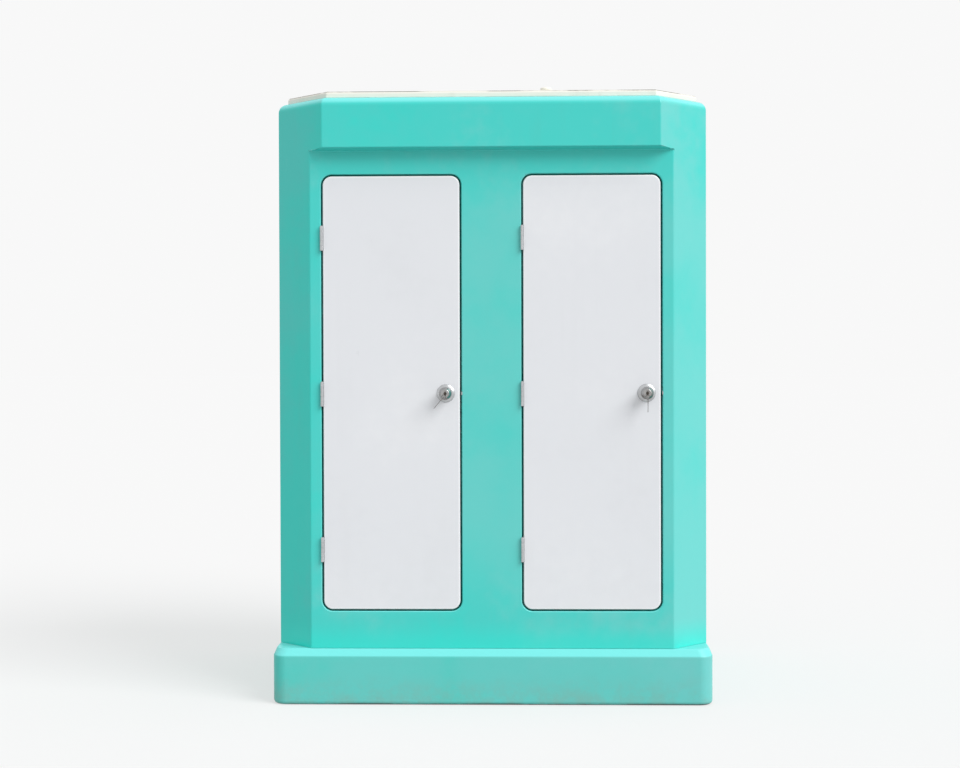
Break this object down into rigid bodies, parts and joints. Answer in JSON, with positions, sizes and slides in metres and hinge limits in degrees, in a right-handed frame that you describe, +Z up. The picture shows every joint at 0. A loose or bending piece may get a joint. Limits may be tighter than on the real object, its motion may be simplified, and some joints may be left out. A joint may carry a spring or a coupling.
{
  "type": "portable toilet cabin",
  "caption": "Portable toilet cabin with side-by-side flush doors, chamfered front corners, projecting header, ledged plinth, roof water tank and fitted compartments.",
  "frame": {"origin": "on the ground, in the middle of the plinth's rectangle", "axes": "+X to the viewer's right from the front, +Y to the back, +Z up; the doors face -Y"},
  "size_m": [1.87, 1.605, 2.697],
  "materials": {
    "turquoise_composite": "semi-gloss moulded gelcoat",
    "plinth_composite": "semi-gloss gelcoat, slightly dusty",
    "door_composite": "semi-gloss white gelcoat",
    "roof_composite": "cream gelcoat",
    "inner_composite": "pale smooth laminate",
    "floor_composite": "textured non-slip surface",
    "frame_composite": "satin moulded",
    "seal_rubber": "matt black",
    "stainless_steel": "brushed",
    "polished_steel": "polished",
    "key_metal": "nickel plated",
    "dark_tank": "moulded",
    "pale_tank": "moulded",
    "pipe_plastic": "smooth",
    "valve_plastic": "smooth",
    "lever_red": "gloss",
    "ceramic": "white glaze",
    "seat_plastic": "gloss white",
    "mirror_glass": "silvered",
    "paper": "soft white",
    "light_plastic": "opal diffuser",
    "louvre_plastic": "satin white"
  },
  "bodies": {
    "cabin": {"base_plinth": "plinth_composite", "waste_tank": "dark_tank", "floor_deck": "floor_composite", "front_shell": "turquoise_composite", "rear_panel": "turquoise_composite", "left_side_panel": "turquoise_composite", "right_side_panel": "turquoise_composite", "shell_bolts": "stainless_steel", "roof_cover": "roof_composite", "partition_wall": "inner_composite", "ceiling_panel": "inner_composite", "water_tank": "pale_tank", "vent_pipe": "pipe_plastic", "drain_valve": "valve_plastic", "door_frames": "frame_composite", "door_seals": "seal_rubber", "strike_plates": "stainless_steel", "frame_hinge_leaves": "stainless_steel", "hinge_pins": "stainless_steel", "toilet_bowls": "ceramic", "cisterns": "ceramic", "cistern_lids": "ceramic", "basins": "ceramic", "tap_bodies": "polished_steel", "pipework": "pipe_plastic", "mirrors": "mirror_glass", "paper_holders": "seat_plastic", "coat_hooks": "stainless_steel", "ceiling_lights": "light_plastic", "vent_louvres": "louvre_plastic"},
    "door_left": {"door_leaf_left": "door_composite", "door_hinge_leaves_left": "stainless_steel", "lock_body_left": "stainless_steel"},
    "knob_left": {"outer_knob_left": "polished_steel", "inner_knob_left": "polished_steel"},
    "latch_left": {"latch_bolt_left": "stainless_steel"},
    "key_left": {"key_left": "key_metal"},
    "spare_key_left": {"spare_key_left": "key_metal"},
    "privacy_turn_left": {"turn_button_left": "polished_steel"},
    "seat_left": {"toilet_seat_left": "seat_plastic"},
    "seat_lid_left": {"toilet_lid_left": "seat_plastic"},
    "flush_left": {"flush_button_left": "seat_plastic"},
    "tap_left": {"tap_lever_left": "polished_steel"},
    "roll_left": {"paper_roll_left": "paper"},
    "door_right": {"door_leaf_right": "door_composite", "door_hinge_leaves_right": "stainless_steel", "lock_body_right": "stainless_steel"},
    "knob_right": {"outer_knob_right": "polished_steel", "inner_knob_right": "polished_steel"},
    "latch_right": {"latch_bolt_right": "stainless_steel"},
    "key_right": {"key_right": "key_metal"},
    "spare_key_right": {"spare_key_right": "key_metal"},
    "privacy_turn_right": {"turn_button_right": "polished_steel"},
    "seat_right": {"toilet_seat_right": "seat_plastic"},
    "seat_lid_right": {"toilet_lid_right": "seat_plastic"},
    "flush_right": {"flush_button_right": "seat_plastic"},
    "tap_right": {"tap_lever_right": "polished_steel"},
    "roll_right": {"paper_roll_right": "paper"},
    "roof_lid": {"tank_lid": "roof_composite"},
    "drain_lever": {"valve_lever": "lever_red"}
  },
  "joints": [
    {"name": "door_left_swing", "type": "hinge", "parent": "cabin", "child": "door_left", "pos_m": [-0.7185, -0.661, 0.404], "axis": [0, 0, -1], "range_deg": [0, 165]},
    {"name": "knob_left_turn", "type": "hinge", "parent": "door_left", "child": "knob_left", "pos_m": [-0.1945, -0.653, 1.321], "axis": [0, 1, 0], "range_deg": [0, 60]},
    {"name": "latch_left_slide", "type": "slide", "parent": "door_left", "child": "latch_left", "axis": [1, 0, 0], "range_m": [0, 0.014]},
    {"name": "key_left_turn", "type": "hinge", "parent": "knob_left", "child": "key_left", "pos_m": [-0.1945, -0.715, 1.321], "axis": [0, 1, 0], "range_deg": [0, 90]},
    {"name": "spare_key_left_swing", "type": "hinge", "parent": "key_left", "child": "spare_key_left", "pos_m": [-0.1945, -0.733, 1.31367], "axis": [0, 1, 0], "range_deg": [-80, 0]},
    {"name": "privacy_turn_left", "type": "hinge", "parent": "knob_left", "child": "privacy_turn_left", "pos_m": [-0.1945, -0.551, 1.321], "axis": [0, 1, 0], "range_deg": [0, 90]},
    {"name": "seat_left_lift", "type": "hinge", "parent": "cabin", "child": "seat_left", "pos_m": [-0.46575, 0.462, 0.815], "axis": [-1, 0, 0], "range_deg": [0, 90]},
    {"name": "seat_lid_left_lift", "type": "hinge", "parent": "cabin", "child": "seat_lid_left", "pos_m": [-0.46575, 0.462, 0.815], "axis": [-1, 0, 0], "range_deg": [-95, 0]},
    {"name": "flush_left_press", "type": "slide", "parent": "cabin", "child": "flush_left", "axis": [0, 0, -1], "range_m": [0, 0.005], "stiffness_N_per_m": 800, "springref_m": -0.004},
    {"name": "tap_left_turn", "type": "hinge", "parent": "cabin", "child": "tap_left", "pos_m": [-0.89, -0.305, 1.288], "axis": [0, 0, 1], "range_deg": [0, 90]},
    {"name": "roll_left_spin", "type": "hinge", "parent": "cabin", "child": "roll_left", "pos_m": [-0.079, 0.15, 1.05], "axis": [0, 1, 0], "continuous": true},
    {"name": "door_right_swing", "type": "hinge", "parent": "cabin", "child": "door_right", "pos_m": [0.1305, -0.661, 0.404], "axis": [0, 0, -1], "range_deg": [0, 165]},
    {"name": "knob_right_turn", "type": "hinge", "parent": "door_right", "child": "knob_right", "pos_m": [0.6545, -0.653, 1.321], "axis": [0, 1, 0], "range_deg": [0, 60]},
    {"name": "latch_right_slide", "type": "slide", "parent": "door_right", "child": "latch_right", "axis": [1, 0, 0], "range_m": [0, 0.014]},
    {"name": "key_right_turn", "type": "hinge", "parent": "knob_right", "child": "key_right", "pos_m": [0.6545, -0.715, 1.321], "axis": [0, 1, 0], "range_deg": [0, 90]},
    {"name": "spare_key_right_swing", "type": "hinge", "parent": "key_right", "child": "spare_key_right", "pos_m": [0.6545, -0.733, 1.31367], "axis": [0, 1, 0], "range_deg": [-40, 40]},
    {"name": "privacy_turn_right", "type": "hinge", "parent": "knob_right", "child": "privacy_turn_right", "pos_m": [0.6545, -0.551, 1.321], "axis": [0, 1, 0], "range_deg": [0, 90]},
    {"name": "seat_right_lift", "type": "hinge", "parent": "cabin", "child": "seat_right", "pos_m": [0.46575, 0.462, 0.815], "axis": [-1, 0, 0], "range_deg": [0, 90]},
    {"name": "seat_lid_right_lift", "type": "hinge", "parent": "cabin", "child": "seat_lid_right", "pos_m": [0.46575, 0.462, 0.815], "axis": [-1, 0, 0], "range_deg": [-95, 0]},
    {"name": "flush_right_press", "type": "slide", "parent": "cabin", "child": "flush_right", "axis": [0, 0, -1], "range_m": [0, 0.005], "stiffness_N_per_m": 800, "springref_m": -0.004},
    {"name": "tap_right_turn", "type": "hinge", "parent": "cabin", "child": "tap_right", "pos_m": [0.89, -0.305, 1.288], "axis": [0, 0, -1], "range_deg": [0, 90]},
    {"name": "roll_right_spin", "type": "hinge", "parent": "cabin", "child": "roll_right", "pos_m": [0.079, 0.15, 1.05], "axis": [0, 1, 0], "continuous": true},
    {"name": "roof_lid_lift", "type": "hinge", "parent": "cabin", "child": "roof_lid", "pos_m": [0.237, -0.1, 2.632], "axis": [-1, 0, 0], "range_deg": [0, 110]},
    {"name": "drain_lever_turn", "type": "hinge", "parent": "cabin", "child": "drain_lever", "pos_m": [0, 0.745, 0.076], "axis": [0, 0, 1], "range_deg": [0, 90]}
  ],
  "couplings": [
    {"joint": "latch_left_slide", "follows": "knob_left_turn", "m_per_rad": 0.013369},
    {"joint": "latch_right_slide", "follows": "knob_right_turn", "m_per_rad": 0.013369}
  ]
}
